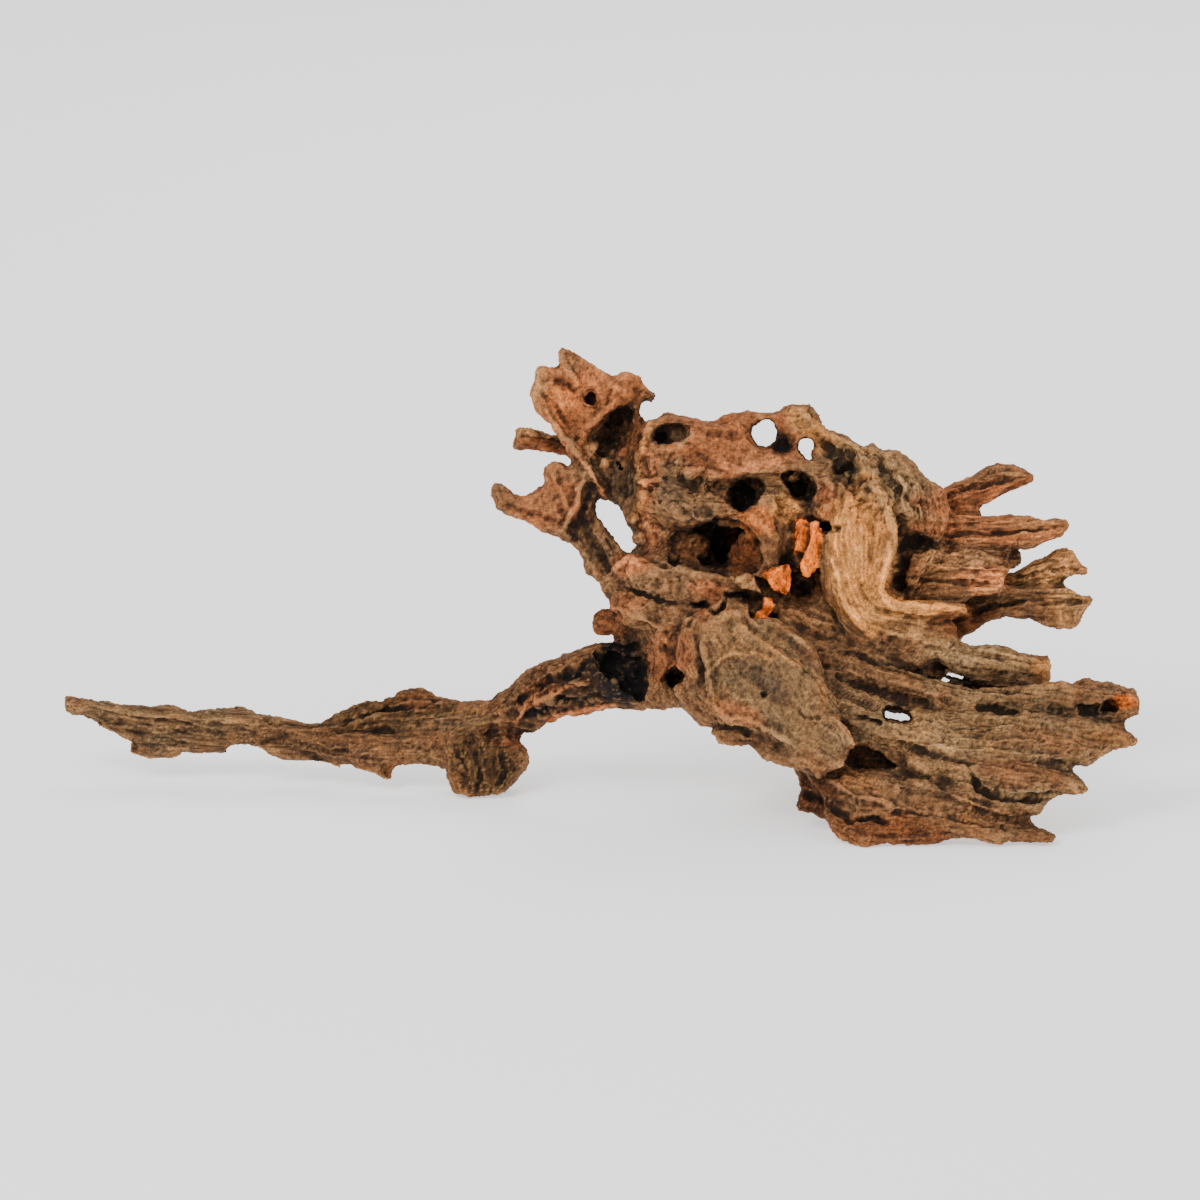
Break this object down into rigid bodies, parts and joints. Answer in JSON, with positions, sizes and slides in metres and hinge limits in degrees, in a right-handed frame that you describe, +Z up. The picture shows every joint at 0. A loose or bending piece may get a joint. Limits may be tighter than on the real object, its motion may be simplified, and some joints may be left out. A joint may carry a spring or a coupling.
{
  "type": "aquarium driftwood",
  "caption": "Weathered root wood for an aquarium: hollow crown, fan of root fingers and a long side branch, standing on three low points.",
  "frame": {"origin": "bottom centre of the box round the piece, on the floor that it stands on", "axes": "+X along the length, from the tip of the long branch towards the fan of roots; +Y away from the viewer of the pictured side; +Z up"},
  "size_m": [0.4308, 0.132, 0.1782],
  "materials": {
    "wood": "weathered, dry, matt"
  },
  "bodies": {
    "root": {"driftwood": "wood"}
  },
  "joints": []
}
